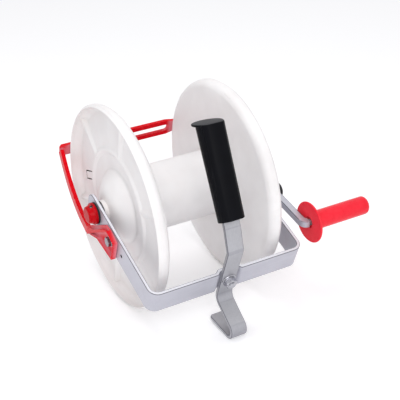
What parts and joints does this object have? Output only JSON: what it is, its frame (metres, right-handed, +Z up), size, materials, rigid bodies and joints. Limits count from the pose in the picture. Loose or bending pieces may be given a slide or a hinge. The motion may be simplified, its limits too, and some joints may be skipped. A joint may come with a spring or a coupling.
{
  "type": "electric fence reel",
  "caption": "Hand-cranked reel for fence wire: moulded drum on an axle in a bent steel U-frame, with carrying grip, hook foot and swinging wire guide.",
  "frame": {"origin": "middle of the drum, on the axle", "axes": "+X along the axle to the crank, -Y towards the carrying grip and the base of the frame, +Z up with both flanges and the hook foot on level ground"},
  "size_m": [0.3135, 0.2842, 0.2496],
  "materials": {
    "white_plastic": "moulded white polypropylene, satin",
    "red_plastic": "moulded red polypropylene, half gloss",
    "black_plastic": "moulded black nylon, satin",
    "black_grip": "soft black vinyl, fine grain",
    "zinc_steel": "bright zinc plate on rolled steel"
  },
  "bodies": {
    "frame": {"u_frame": "zinc_steel", "left_bush": "black_plastic", "right_bush": "black_plastic", "handle_strip": "zinc_steel", "handle_grip": "black_grip", "handle_bolt": "zinc_steel", "handle_nut": "zinc_steel", "handle_washer": "zinc_steel", "guide_bolt": "zinc_steel", "guide_nut": "zinc_steel", "guide_washer": "zinc_steel"},
    "drum": {"drum_left_flange": "white_plastic", "drum_right_flange": "white_plastic", "drum_barrel": "white_plastic", "axle": "zinc_steel", "drum_pin": "zinc_steel", "thrust_washers": "zinc_steel", "axle_cap": "red_plastic", "cap_pin": "zinc_steel", "crank_hub": "black_plastic", "crank_pin": "zinc_steel", "crank_bar": "zinc_steel", "crank_screws": "zinc_steel"},
    "knob": {"crank_grip": "red_plastic"},
    "guide": {"wire_guide": "red_plastic"}
  },
  "joints": [
    {"name": "drum_spin", "type": "hinge", "parent": "frame", "child": "drum", "pos_m": [0, 0, 0], "axis": [1, 0, 0], "continuous": true},
    {"name": "knob_spin", "type": "hinge", "parent": "drum", "child": "knob", "pos_m": [0.1209, -0.11303, -0.02609], "axis": [1, 0, 0], "continuous": true},
    {"name": "guide_swing", "type": "hinge", "parent": "frame", "child": "guide", "pos_m": [-0.0975, -0.04111, -0.01703], "axis": [-1, 0, 0], "range_deg": [0, 45]}
  ]
}
